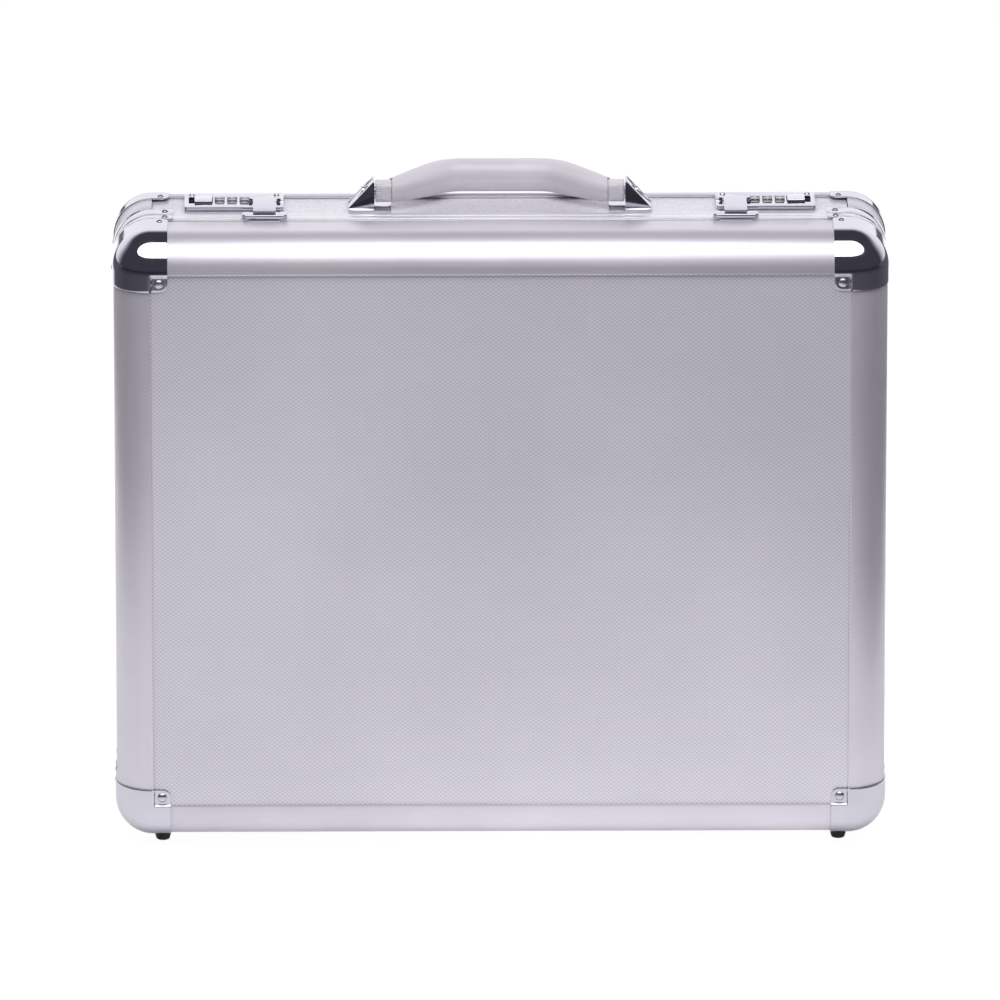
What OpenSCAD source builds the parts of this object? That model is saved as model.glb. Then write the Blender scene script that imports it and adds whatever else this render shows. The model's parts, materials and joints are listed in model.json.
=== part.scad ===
// Aluminium attache case: framed board shell in two halves, standing on its hinge side.
// X runs across the case, -Y is the lid's face, +Z is up. The origin is on the floor,
// under the middle of the case, and the case is closed with its handle lying back.

/* [Case] */
// Width across the ball corners
case_w = 460; // [400:5:520]
// Height from hinge side to handle side
case_h = 374; // [322:4:422]
// Depth from the lid's face to the base's face
case_d = 124; // [116:2:160]
// Depth of the lid half, measured to the parting line
lid_d = 54; // [50:1:58]
// Radius of the ball corners
corner_r = 23; // [23:1:26]
// Height of the feet
foot_h = 5.6; // [5.4:0.1:12]

/* [Shell] */
// How far the ball corners stand proud of the rails
proud = 0.8; // [0.7:0.1:1.0]
// Wall of the rail extrusion over the boards
rail_t = 1.6; // [1.4:0.1:2]
// Thickness of the laminated boards
board_t = 2; // [2:0.5:2.5]
// Depth of the rail extrusion's hollow bend
rail_ring = 6.5; // [6:0.5:7]
// Flat band of the lid's rails beside the bend
lid_band = 19; // [14:1:20]
// Flat band of the base's rails beside the bend
base_band = 3; // [2:1:8]
// Visible depth of the lid's rim extrusion
lid_rim_d = 6.3; // [5:0.1:7]
// Visible depth of the base's rim extrusion
base_rim_d = 6.8; // [5:0.1:8]
// Gap between the two rims
parting_gap = 0.4; // [0.4:0.1:0.8]
// Thickness of the fabric-faced lining
lining_t = 1.5; // [1:0.5:2.5]

/* [Corners] */
// Thickness of the pressed corner shells
shell_t = 0.7; // [0.6:0.1:0.7]
// How far a corner's ears reach past the bend
ear = 10; // [8:1:14]
// Length of the rim corners' ears
rim_ear = 13; // [10:1:13]

/* [Handle] */
// Distance between the outer faces of the end caps
handle_w = 148; // [140:0.5:170]
// Distance of the grip from the pivots
handle_arm = 31; // [28:1:34]
// Radius of the grip
grip_r = 9; // [8:0.1:9]
// Height of the pivots over the case
pivot_h = 9; // [8.6:0.1:11]
// Angle at which the handle lies back, above level
handle_rest = 2.4; // [1.5:0.1:8]

/* [Locks] */
// Distance of each lock's middle from the case's middle
lock_x = 158; // [140:1:160]
// Size of a lock plate across the case
lock_w = 59; // [58:1:64]
// Size of a lock plate along the depth
lock_l = 32; // [31:1:34]
// Radius of a number dial
dial_r = 8.5; // [8:0.1:9]
// Thickness of a number dial
dial_t = 5.2; // [4.8:0.1:5.4]
// Spacing of the dials
dial_pitch = 7.4; // [7.2:0.1:7.6]
// Width of a hasp
hasp_w = 13.6; // [12:0.1:14]

/* [Hidden] */
eps = 0.02;
fit = 0.1;                       // assembly gap between pieces that don't move
$fn = 64;

y_front = -case_d / 2;
z_mid = foot_h + case_h / 2;
z_top = foot_h + case_h;
base_d = case_d - lid_d;
LID = 1;                         // half: the lid is built from the front face
BASE = -1;                       // half: the base is built from the rear face
board_at = proud + rail_t;       // the boards' outer face, in from the corners' outside
board_in = board_at + board_t;
ring_r = corner_r - proud;       // outer radius of the rail's bend
lining_at = proud + rail_ring + 0.2;
lining_in = lining_at + lining_t;
half_gap = parting_gap / 2;

// The four sides in turn: 0 top, 1 right, 2 bottom, 3 left.
function side_len(k) = k % 2 == 0 ? case_w : case_h;
function side_dist(k) = k % 2 == 0 ? case_h / 2 : case_w / 2;
function half_d(half) = half == LID ? lid_d : base_d;
function rim_d(half) = half == LID ? lid_rim_d : base_rim_d;
function rim_end(half) = half_d(half) - half_gap;
function rim_start(half) = rim_end(half) - rim_d(half);
function leg_end(half) = half == LID ? 46 : corner_r + ear;
insert_end = 56;                 // where the base's corner inserts meet its rim corners

// Puts a half's children in place: they are drawn as for the lid, with Y from the face in.
module in_half(half) {
  translate([0, half * y_front, z_mid]) mirror([0, half == LID ? 0 : 1, 0]) children();
}

// Turns children drawn at the top side to side k, leaving Y alone.
module at_side(k) { rotate([0, 90 * k, 0]) translate([0, 0, side_dist(k)]) children(); }

// Extrudes a section along side k. In the section, X is the depth and -Y the way inwards.
module along_side(half, k, trim) {
  in_half(half) at_side(k) rotate([90, 0, 90])
    linear_extrude(height = side_len(k) - 2 * trim, center = true) children();
}

// A box beside side k: a is the depth, b the distance in from the outside.
module side_box(half, k, trim, a, b) {
  in_half(half) at_side(k)
    translate([-side_len(k) / 2 + trim, a[0], -b[1]])
      cube([side_len(k) - 2 * trim, a[1] - a[0], b[1] - b[0]]);
}

// A point on the top side, given from the front face: children sit with Z out of the case.
module on_top(x, t) { translate([x, y_front + t, z_top]) children(); }

module rounded_rect(w, l, r) {
  square([w - 2 * r, l], center = true);
  square([w, l - 2 * r], center = true);
  for (sx = [-1, 1], sy = [-1, 1])
    translate([sx * (w / 2 - r), sy * (l / 2 - r)]) circle(r);
}

// ---- shell extrusions -------------------------------------------------------------

// Section of a rail: a quarter-round hollow bend with a slot at each end for the boards.
module rail_section(band) {
  hollow_out = 1.6;
  hollow_in = 5;
  difference() {
    union() {
      intersection() {
        translate([corner_r, -corner_r]) circle(ring_r);
        translate([0, -corner_r]) square(corner_r);
      }
      translate([corner_r - eps, -board_at]) square([band + eps, rail_t]);
    }
    translate([corner_r, -corner_r]) circle(ring_r - rail_ring);
    translate([board_at, -corner_r - 1]) square([board_t + fit, corner_r - 17.4]);
    translate([18.4, -board_in - fit]) square([band + 10, board_t + fit]);
    intersection() {
      translate([corner_r, -corner_r]) difference() {
        circle(ring_r - hollow_out);
        circle(ring_r - hollow_in);
      }
      translate([corner_r, -corner_r])
        polygon([[0, 0], 40 * [cos(118), sin(118)], 40 * [cos(152), sin(152)]]);
    }
  }
}

module rail(half, k) {
  color([0.80, 0.78, 0.83])
    along_side(half, k, corner_r + fit) rail_section(half == LID ? lid_band : base_band);
}

// The visible walls are boards let into the rails and the rims.
module boards(half) {
  color([0.78, 0.76, 0.82]) difference() {
    for (k = [0:3])
      side_box(half, k, corner_r + 0.3, [18.8, rim_end(half) - 4.9], [board_at, board_in]);
    if (half == BASE) lock_openings();
  }
}

module panel(half) {
  inset = 18.8;
  color([0.76, 0.74, 0.80]) difference() {
    in_half(half) translate([0, board_at + board_t / 2, 0])
      cube([case_w - 2 * inset, board_t, case_h - 2 * inset], center = true);
    face_rivets(half, 1.4);
  }
}

tongue = [3.5, 5.1];             // distance in from the outside of the base's tongue
groove = [2.9, 5.7];             // and of the lid's groove
tongue_h = 2.5;
groove_h = 2.9;

// Section of a rim from its outer to its inner wall, with the board's slot at its back.
module rim_section(half) {
  inner = 7.2;
  difference() {
    translate([rim_start(half), -inner]) square([rim_d(half), inner - proud]);
    translate([rim_start(half) - 1, -board_in - fit])
      square([rim_d(half) - 4.8 + 1, board_t + 2 * fit]);
    if (half == LID)
      translate([rim_end(half) - groove_h, -groove[1]])
        square([groove_h + 1, groove[1] - groove[0]]);
  }
  if (half == BASE)
    translate([rim_end(half) - eps, -tongue[1]])
      square([tongue_h + eps, tongue[1] - tongue[0]]);
}

module rim(half) {
  color([0.84, 0.83, 0.87])
    for (k = [0:3]) along_side(half, k, corner_r + fit) rim_section(half);
}

// ---- corners ----------------------------------------------------------------------

// The four corners in turn: 0 top right, 1 bottom right, 2 bottom left, 3 top left.
// Children sit with the corner's bend centre at [0, 0] in X and Z, X and Z going outwards.
module at_corner(half, n) {
  sx = n < 2 ? 1 : -1;
  sz = n == 0 || n == 3 ? 1 : -1;
  in_half(half)
    translate([sx * (case_w / 2 - corner_r), 0, sz * (case_h / 2 - corner_r)])
      mirror([sx < 0 ? 1 : 0, 0, 0]) mirror([0, 0, sz < 0 ? 1 : 0]) children();
}

// A quarter of a tube along the depth, from a0 to a1, in the +X +Z quarter.
module quarter_tube(r_in, r_out, a0, a1) {
  translate([0, a1, 0]) rotate([90, 0, 0])
    rotate_extrude(angle = 90) translate([r_in, 0]) square([r_out - r_in, a1 - a0]);
}

// Flat ears on the two sides that meet at a corner, b in from the outside.
module side_ears(reach, a0, a1, b) {
  translate([-reach, a0, corner_r - b[1]]) cube([reach, a1 - a0, b[1] - b[0]]);
  translate([corner_r - b[1], a0, -reach]) cube([b[1] - b[0], a1 - a0, reach]);
}

// A pressed ball corner: an eighth of a ball, three quarter-round legs and flat ears.
module ball_corner(half, n) {
  inner = corner_r - shell_t;
  color([0.88, 0.88, 0.90]) difference() {
    at_corner(half, n) {
      intersection() {
        translate([0, corner_r, 0]) difference() {
          sphere(corner_r);
          sphere(inner);
        }
        cube(corner_r);
      }
      quarter_tube(inner, corner_r, corner_r, leg_end(half));
      translate([-ear, corner_r, 0]) rotate([0, 90, 0]) rotate([0, 0, 180])
        rotate_extrude(angle = 90) translate([inner, 0]) square([shell_t, ear]);
      translate([0, corner_r, -ear]) rotate([0, 0, -90])
        rotate_extrude(angle = 90) translate([inner, 0]) square([shell_t, ear]);
      side_ears(ear, corner_r, leg_end(half), [0, shell_t]);
      translate([-ear, 0, -ear]) cube([ear, board_at - fit, ear]);
    }
    face_rivets(half, 1.4);
    side_rivets(half, 1.1);
  }
}

module rim_corners(half) {
  a0 = half == LID ? leg_end(LID) + fit : insert_end + fit;
  color([0.88, 0.88, 0.90]) difference() {
    for (n = [0:3]) at_corner(half, n) {
      difference() {
        quarter_tube(corner_r - 7.1, corner_r - fit, a0, rim_end(half));
        if (half == LID)
          quarter_tube(corner_r - groove[1], corner_r - groove[0], rim_end(half) - groove_h,
            rim_end(half) + 1);
      }
      if (half == BASE)
        quarter_tube(corner_r - tongue[1], corner_r - tongue[0], rim_end(half) - eps,
          rim_end(half) + tongue_h);
      side_ears(rim_ear, a0, rim_end(half), [fit, shell_t]);
    }
    side_rivets(half, 1.1);
  }
}

module corner_inserts() {
  color([0.82, 0.80, 0.86])
    for (n = [0:3]) at_corner(BASE, n)
      quarter_tube(corner_r - 3, corner_r - 0.5, leg_end(BASE) + fit, insert_end);
}

// ---- rivets and feet --------------------------------------------------------------

rivet_in = 28;                   // the face rivets' distance in from both outer sides
face_len = 7;
foot_r = 4.7;
lid_foot_t = 27;                 // depths of the feet from the front face
base_foot_t = case_d - 28;
function rivet_rows(half) = half == LID ? [40, 50.2] : [28, 61];
function rivet_inset(i) = i == 0 ? 28 : 31;

module face_rivets(half, r) {
  in_half(half)
    for (sx = [-1, 1], sz = [-1, 1])
      translate([sx * (case_w / 2 - rivet_in), 0, sz * (case_h / 2 - rivet_in)])
        rotate([-90, 0, 0]) cylinder(h = face_len, r = r);
}

// Where the corner screws of a half sit on the four sides. The base's feet take the place
// of its rear pair on the hinge side.
module each_side_rivet(half) {
  in_half(half)
    for (k = [0:3], s = [-1, 1], i = [0, 1])
      if (!(half == BASE && k == 2 && i == 0)) at_side(k)
        translate([s * (side_len(k) / 2 - rivet_inset(i)), rivet_rows(half)[i],
          i == 0 ? 0 : -fit]) children();
}

// Holes for those screws through the corners' ears.
module side_rivets(half, r) {
  each_side_rivet(half) translate([0, 0, -1.5]) cylinder(h = 3, r = r);
}

module rivets(half) {
  color([0.85, 0.85, 0.86]) {
    face_rivets(half, 1.4);
    in_half(half)
      for (sx = [-1, 1], sz = [-1, 1])
        translate([sx * (case_w / 2 - rivet_in), 0, sz * (case_h / 2 - rivet_in)])
          rotate([90, 0, 0]) cylinder(h = 1.1, r1 = 2.7, r2 = 1.5);
    each_side_rivet(half) {
      cylinder(h = 0.7, r1 = 1.9, r2 = 1.1);
      translate([0, 0, fit - shell_t]) cylinder(h = shell_t - fit + eps, r = 1.1);
    }
  }
}

// Two feet of a half, on its hinge side, standing on the ball corners' ears.
module feet(depth) {
  taper_h = 3;
  color([0.12, 0.12, 0.13])
    for (s = [-1, 1])
      translate([s * (case_w / 2 - rivet_in), y_front + depth, 0]) {
        cylinder(h = taper_h, r1 = foot_r - 0.8, r2 = foot_r);
        translate([0, 0, taper_h]) cylinder(h = foot_h - taper_h, r = foot_r);
      }
}

// ---- linings ----------------------------------------------------------------------

// A block with bevelled edges all round its face, from depth a0 to a1.
module soft_block(inset, r, a0, a1) {
  w = case_w - 2 * inset;
  h = case_h - 2 * inset;
  reach = a1 - a0 + 2 * r;       // the far edges stay beyond the block's open end
  intersection() {
    translate([0, a1, 0]) rotate([90, 0, 0])
      linear_extrude(height = a1 - a0) rounded_rect(w, h, r, $fn = 12);
    translate([0, a0 + reach / 2, 0])
      linear_extrude(height = h + 2, center = true) rounded_rect(w, reach, r, $fn = 12);
    translate([0, a0 + reach / 2, 0]) rotate([90, 0, 90])
      linear_extrude(height = w + 2, center = true) rounded_rect(reach, h, r, $fn = 12);
  }
}

module lining(half) {
  r = ring_r - rail_ring - 0.2;
  color([0.30, 0.30, 0.33]) difference() {
    in_half(half) difference() {
      soft_block(lining_at, r, lining_at, rim_end(half) - fit);
      soft_block(lining_in, r - lining_t, lining_in, rim_end(half) + 5);
    }
    if (half == BASE) lock_openings();
  }
}

pocket = [380, 5, 210];          // document pocket inside the lid

module lid_pocket() {
  color([0.22, 0.22, 0.24])
    in_half(LID) translate([-pocket[0] / 2, lining_in + fit, -pocket[2] / 2 - 30]) cube(pocket);
}

// ---- hinges -----------------------------------------------------------------------

hinge_x = 130;                   // distance of each hinge's middle from the case's middle
hinge_w = 60;
knuckle_r = 2.4;
hinge_pin_r = 1.2;
knuckles = 5;
knuckle_gap = 0.4;
leaf_b = [-0.5, 0.7];            // the leaves' two faces, in from the outside
axis_y = y_front + lid_d;
axis_z = foot_h - knuckle_r;

// Children once per hinge knuckle: the lid has the even ones when lid is true.
module knuckle_row(lid) {
  pitch = hinge_w / knuckles;
  for (s = [-1, 1], i = [0:knuckles - 1])
    if ((i % 2 == 1) == lid)
      translate([s * hinge_x - hinge_w / 2 + i * pitch + knuckle_gap / 2, 0, 0]) children();
}

module hinge_leaves(lid) {
  run = hinge_w / knuckles - knuckle_gap;
  way = lid ? -1 : 1;            // which way the leaf lies from the axis
  flat_from = 2.1;               // where the plain leaf starts, clear of the other's knuckles
  flat_to = 12;
  leaf_t = leaf_b[1] - leaf_b[0];
  color([0.72, 0.72, 0.74]) difference() {
    union() {
      knuckle_row(lid) {
        translate([0, axis_y, axis_z]) rotate([0, 90, 0]) cylinder(h = run, r = knuckle_r);
        translate([0, axis_y + (way < 0 ? -flat_from - 1 : 0.3), foot_h + leaf_b[0]])
          cube([run, flat_from + 0.7, leaf_t]);
      }
      for (s = [-1, 1])
        translate([s * hinge_x - hinge_w / 2, axis_y + (way < 0 ? -flat_to : flat_from),
          foot_h + leaf_b[0]])
          cube([hinge_w, flat_to - flat_from, leaf_t]);
    }
    for (s = [-1, 1])
      translate([s * hinge_x - hinge_w, axis_y, axis_z]) rotate([0, 90, 0])
        cylinder(h = 2 * hinge_w, r = hinge_pin_r + (lid ? 0.05 : 0));
  }
}

module hinge_pins() {
  color([0.6, 0.6, 0.62])
    for (s = [-1, 1])
      translate([s * hinge_x - hinge_w / 2 - 0.6, axis_y, axis_z]) rotate([0, 90, 0])
        cylinder(h = hinge_w + 1.2, r = hinge_pin_r);
}

// ---- handle -----------------------------------------------------------------------

pivot_t = 74;
cap_w = 10;
cap_s = 11.8;                    // the end caps' height and depth
cap_r = 2.8;
cap_x = handle_w / 2 - cap_w;    // inner face of an end cap
handle_pin_r = 2.5;
bracket_gap = 0.5;               // side gap between an end cap and its bracket
bracket_foot = 0.4;              // top of the brackets' foot plates, over the case

// Children in the handle's own plane, at rest: X across, Y away from the pivots.
module handle_plane() {
  on_top(0, pivot_t) translate([0, 0, pivot_h]) rotate([handle_rest, 0, 0]) children();
}

// A twelve-sided bar along X.
module bar(len) { rotate([90, 0, 90]) linear_extrude(height = len) rotate(15) circle(grip_r, $fn = 12); }

// One side of the grip: half its level middle, mitred to the slope down to the end cap.
module half_grip() {
  slope = 43.5;
  end_x = cap_x - 0.2;
  knee_x = cap_x - handle_arm * cos(slope) / sin(slope);
  lap = grip_r;
  big = 100;
  difference() {
    bar(knee_x + lap);
    translate([knee_x, 0, 0]) rotate([0, 0, -slope / 2])
      translate([0, -big / 2, -big / 2]) cube(big);
  }
  intersection() {
    translate([knee_x, 0, 0]) rotate([0, 0, -slope]) translate([-lap, 0, 0]) bar(big);
    translate([knee_x, 0, 0]) rotate([0, 0, -slope / 2])
      translate([0, -big / 2, -big / 2]) cube(big);
    translate([0, -big, -big / 2]) cube([end_x, 2 * big, big]);
  }
}

// What turns close over the case is planed to stay inside a circle about the pivots.
module turning_room() {
  clear_r = pivot_h - 0.3;
  translate([-cap_x - 1, 0, 0]) rotate([90, 0, 90])
    linear_extrude(height = 2 * cap_x + 2) difference() {
      translate([-30, -15]) square([30, 30]);
      rotate(15) circle(clear_r, $fn = 12);
    }
}

module handle_grip() {
  color([0.74, 0.72, 0.76]) handle_plane() difference() {
    translate([0, handle_arm, 0]) {
      half_grip();
      mirror([1, 0, 0]) half_grip();
    }
    turning_room();
  }
}

module handle_caps() {
  color([0.76, 0.74, 0.78]) handle_plane()
    for (s = [-1, 1])
      translate([s > 0 ? cap_x : -cap_x - cap_w, 0, 0]) rotate([90, 0, 90]) difference() {
        linear_extrude(height = cap_w) rounded_rect(cap_s, cap_s, cap_r);
        translate([0, 0, -1]) cylinder(h = cap_w + 2, r = handle_pin_r + 0.05);
      }
}

module handle_pins() {
  color([0.6, 0.6, 0.62])
    for (s = [-1, 1])
      on_top(s > 0 ? cap_x + 1 : -cap_x - 1 - 17, pivot_t)
        translate([0, 0, pivot_h]) rotate([0, 90, 0]) cylinder(h = 17, r = handle_pin_r);
}

// Section of a bracket across the case: a foot plate and a quarter-round fin.
module bracket_section() {
  fin_in = handle_w / 2 + bracket_gap;
  fin_out = fin_in + 15.6;
  fin_h = 16;
  tip_w = 1.2;
  back_r = 23;                   // the fin's back is scooped to this radius
  back_at = [fin_in + 25.8, 26.7];
  translate([cap_x + 0.8, -board_at + eps])
    square([fin_out - cap_x - 0.8, board_at + bracket_foot]);
  difference() {
    translate([fin_in, bracket_foot - eps]) square([fin_out - fin_in, fin_h - bracket_foot]);
    translate(back_at) circle(back_r);
    polygon([[fin_out + 1, bracket_foot], [fin_out, bracket_foot], [fin_in + tip_w, fin_h],
      [fin_in + tip_w, fin_h + 1], [fin_out + 1, fin_h + 1]]);
  }
}

module handle_bracket(s) {
  plate = [61.3, 87];            // the foot plate's front and rear edges, from the front
  fin = [66, 82];
  color([0.88, 0.88, 0.90]) mirror([s < 0 ? 1 : 0, 0, 0]) difference() {
    intersection() {
      on_top(0, plate[1]) rotate([90, 0, 0])
        linear_extrude(height = plate[1] - plate[0]) bracket_section();
      union() {
        on_top(0, fin[0]) cube([case_w / 2, fin[1] - fin[0], 30]);
        on_top(0, plate[0]) translate([0, 0, -board_at])
          cube([case_w / 2, plate[1] - plate[0], board_at + bracket_foot]);
      }
    }
    on_top(0, pivot_t) translate([0, 0, pivot_h]) rotate([0, 90, 0])
      cylinder(h = cap_x + 18, r = handle_pin_r);
  }
}

// ---- locks: drawn for the right side, with the button outboard -------------------------

lock_t = 81;                     // middle of the plate, from the front face
plate_top = 1.5;
plate_t = 1.2;
skirt = 1.5;
dial_x0 = 8.6;                   // first dial outboard of the lock's middle
dial_z = plate_top + 1.6 - dial_r;
axle_r = 1.2;
hasp_x = -18.2;                  // middle of the hasp, inboard of the lock's middle
hasp_axis = [79, 1.6];           // from the front face, and over the case
hasp_pin_r = 1;
hasp_barrel_r = 2.2;
hasp_front = 48.6;
button_x = [13, 23.5];
button_l = 13.6;
button_travel = 3;
case_low = -15;
case_wall = 1;
cell_walls = [-10, 12.6];        // cross walls of the lock case that hold the dial axle

// Places a lock: s is 1 for the right side, -1 for the left, which is its mirror image.
module at_lock(s) {
  mirror([s < 0 ? 1 : 0, 0, 0]) on_top(lock_x, lock_t) children();
}

module lock_openings() {
  for (s = [-1, 1]) at_lock(s)
    translate([0, 0, -8]) cube([lock_w - 2 * skirt + 0.4, lock_l - 2 * skirt + 0.4, 20],
      center = true);
}

function dial_at(i) = dial_x0 - i * dial_pitch;

module lock_plate(s) {
  window_l = 13.6;
  window_w = 5.8;
  window_r = 1;
  barrel_slot = hasp_w + 1;
  hasp_y = hasp_axis[0] - lock_t;
  color([0.87, 0.87, 0.90]) at_lock(s) difference() {
    union() {
      translate([0, 0, plate_top - plate_t])
        linear_extrude(height = plate_t) rounded_rect(lock_w, lock_l, 2);
      translate([0, 0, -board_at + fit]) difference() {
        linear_extrude(height = plate_top - plate_t + board_at - fit + eps)
          rounded_rect(lock_w, lock_l, 2);
        translate([0, 0, -1]) linear_extrude(height = 20)
          square([lock_w - 2 * skirt, lock_l - 2 * skirt], center = true);
      }
      for (e = [-1, 1])
        translate([hasp_x + e * (barrel_slot / 2 + 1.1), hasp_y, plate_top - eps])
          translate([-1.1, -2.2, 0]) cube([2.2, 4.4, 2.1]);
    }
    for (i = [0:2]) translate([dial_at(i), 0, 0])
      linear_extrude(height = 5) rounded_rect(window_w, window_l, window_r);
    translate([button_x[0] - 0.4, -button_l / 2 - 0.3, 0])
      cube([button_x[1] - button_x[0] + button_travel + 0.9, button_l + 0.6, 5]);
    translate([hasp_x - barrel_slot / 2, hasp_y - 2.8, -1]) cube([barrel_slot, 5.6, 10]);
    translate([hasp_x - 12, hasp_y, hasp_axis[1]]) rotate([0, 90, 0])
      cylinder(h = 24, r = hasp_pin_r);
    for (e = [-1, 1]) translate([e * 25.2, 12.2, 0]) cylinder(h = 5, r = 0.9);
  }
}

module lock_case(s) {
  w = lock_w - 2 * skirt - 2 * fit;
  l = lock_l - 2 * skirt - 2 * fit;
  top = plate_top - plate_t - fit;
  color([0.62, 0.62, 0.64]) at_lock(s) difference() {
    translate([-w / 2, -l / 2, case_low]) cube([w, l, top - case_low]);
    for (cell = [[-w / 2 + case_wall, cell_walls[0] - case_wall],
                 [cell_walls[0], cell_walls[1] - case_wall],
                 [cell_walls[1], w / 2 - case_wall]])
      translate([cell[0], -l / 2 + case_wall, case_low + case_wall])
        cube([cell[1] - cell[0], l - 2 * case_wall, 30]);
    translate([cell_walls[0] - 2, 0, dial_z]) rotate([0, 90, 0])
      cylinder(h = cell_walls[1] - cell_walls[0] + 4, r = axle_r);
  }
}

// Two screws hold each plate, at its rear corners.
module each_lock_screw() {
  for (s = [-1, 1]) at_lock(s)
    for (e = [-1, 1]) translate([e * 25.2, 12.2, plate_top]) children();
}

module lock_screws() {
  color([0.7, 0.7, 0.72]) each_lock_screw() {
    cylinder(h = 0.6, r1 = 1.8, r2 = 1.3);
    translate([0, 0, -plate_t]) cylinder(h = plate_t + eps, r = 0.9);
  }
}

module dial_axles() {
  color([0.6, 0.6, 0.62])
    for (s = [-1, 1]) at_lock(s)
      translate([cell_walls[0] - 1.6, 0, dial_z]) rotate([0, 90, 0])
        cylinder(h = cell_walls[1] - cell_walls[0] + 2.2, r = axle_r);
}

module hasp_pins() {
  color([0.6, 0.6, 0.62])
    for (s = [-1, 1]) at_lock(s)
      translate([hasp_x - hasp_w / 2 - 2.6, hasp_axis[0] - lock_t, hasp_axis[1]])
        rotate([0, 90, 0]) cylinder(h = hasp_w + 5.2, r = hasp_pin_r);
}

// A number dial: ten flutes for the fingertip round a disc on the axle.
module dial(s, i) {
  flutes = 10;
  color([0.80, 0.79, 0.80]) at_lock(s)
    translate([dial_at(i) - dial_t / 2, 0, dial_z]) rotate([0, 90, 0]) difference() {
      cylinder(h = dial_t, r = dial_r);
      translate([0, 0, -1]) cylinder(h = dial_t + 2, r = axle_r + 0.05);
      for (f = [0:flutes - 1]) rotate([0, 0, (f + 0.5) * 360 / flutes])
        translate([dial_r + 0.9, 0, -1]) cylinder(h = dial_t + 2, r = 1.5);
    }
}

module hasp(s) {
  arm = hasp_axis[0] - hasp_front;
  arm_t = 1.4;
  color([0.84, 0.84, 0.87]) at_lock(s)
    translate([hasp_x - hasp_w / 2, hasp_axis[0] - lock_t, hasp_axis[1]]) difference() {
      union() {
        rotate([0, 90, 0]) cylinder(h = hasp_w, r = hasp_barrel_r);
        translate([0, -arm, hasp_barrel_r - arm_t]) cube([hasp_w, arm, arm_t]);
      }
      translate([-1, 0, 0]) rotate([0, 90, 0]) cylinder(h = hasp_w + 2, r = hasp_pin_r + 0.05);
    }
}

module button(s) {
  flange = 1.8;
  top = 3;
  color([0.70, 0.70, 0.73]) at_lock(s) {
    translate([button_x[0], -button_l / 2, -1.2])
      cube([button_x[1] - button_x[0], button_l, top + 1.2]);
    translate([button_x[0], -button_l / 2 - flange, -1.2])
      cube([button_x[1] - button_x[0], button_l + 2 * flange, 1.2]);
  }
}

module catch_plate(s) {
  catch_w = 27;
  catch_t = [44.8, 53.4];        // front and rear edges, from the front face
  catch_top = 2;
  len = catch_t[1] - catch_t[0];
  mid = (catch_t[0] + catch_t[1]) / 2 - lock_t;
  color([0.88, 0.88, 0.90]) at_lock(s) translate([hasp_x, mid, 0]) {
    translate([0, 0, -proud + fit]) linear_extrude(height = catch_top + proud - fit)
      rounded_rect(catch_w, len, 3);
    translate([-catch_w / 2 + 4, -len / 2, -board_at + fit])
      cube([catch_w - 8, rim_start(LID) - catch_t[0] - fit, board_at - proud]);
  }
}

panel(LID);  // lid_panel
boards(LID);  // lid_boards
rail(LID, 0);  // lid_rail_top
rail(LID, 1);  // lid_rail_right
rail(LID, 2);  // lid_rail_bottom
rail(LID, 3);  // lid_rail_left
rim(LID);  // lid_rim
rim_corners(LID);  // lid_rim_corners
ball_corner(LID, 0);  // lid_corner_tr
ball_corner(LID, 1);  // lid_corner_br
ball_corner(LID, 2);  // lid_corner_bl
ball_corner(LID, 3);  // lid_corner_tl
lining(LID);  // lid_lining
lid_pocket();
rivets(LID);  // lid_rivets
feet(lid_foot_t);  // lid_feet
catch_plate(-1);  // catch_left
catch_plate(1);  // catch_right
hinge_leaves(true);  // hinge_lid_leaves
panel(BASE);  // base_panel
boards(BASE);  // base_boards
rail(BASE, 0);  // base_rail_top
rail(BASE, 1);  // base_rail_right
rail(BASE, 2);  // base_rail_bottom
rail(BASE, 3);  // base_rail_left
rim(BASE);  // base_rim
rim_corners(BASE);  // base_rim_corners
ball_corner(BASE, 0);  // base_corner_tr
ball_corner(BASE, 1);  // base_corner_br
ball_corner(BASE, 2);  // base_corner_bl
ball_corner(BASE, 3);  // base_corner_tl
corner_inserts();  // base_corner_inserts
lining(BASE);  // base_lining
rivets(BASE);  // base_rivets
feet(base_foot_t);  // base_feet
hinge_leaves(false);  // hinge_base_leaves
hinge_pins();
handle_bracket(-1);  // handle_bracket_left
handle_bracket(1);  // handle_bracket_right
handle_pins();
lock_plate(-1);  // lock_plate_left
lock_plate(1);  // lock_plate_right
lock_case(-1);  // lock_case_left
lock_case(1);  // lock_case_right
dial_axles();
hasp_pins();
lock_screws();
handle_grip();
handle_caps();
hasp(-1);  // hasp_left
hasp(1);  // hasp_right
button(-1);  // button_left
button(1);  // button_right
dial(-1, 0);  // dial_left_1
dial(-1, 1);  // dial_left_2
dial(-1, 2);  // dial_left_3
dial(1, 0);  // dial_right_1
dial(1, 1);  // dial_right_2
dial(1, 2);  // dial_right_3
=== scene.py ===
"""Looks of the aluminium attache case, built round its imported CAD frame. Metres, +Z up, lid at -Y."""
import json
import math

import bmesh
import bpy
import numpy as np
from mathutils import Matrix, Vector

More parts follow.
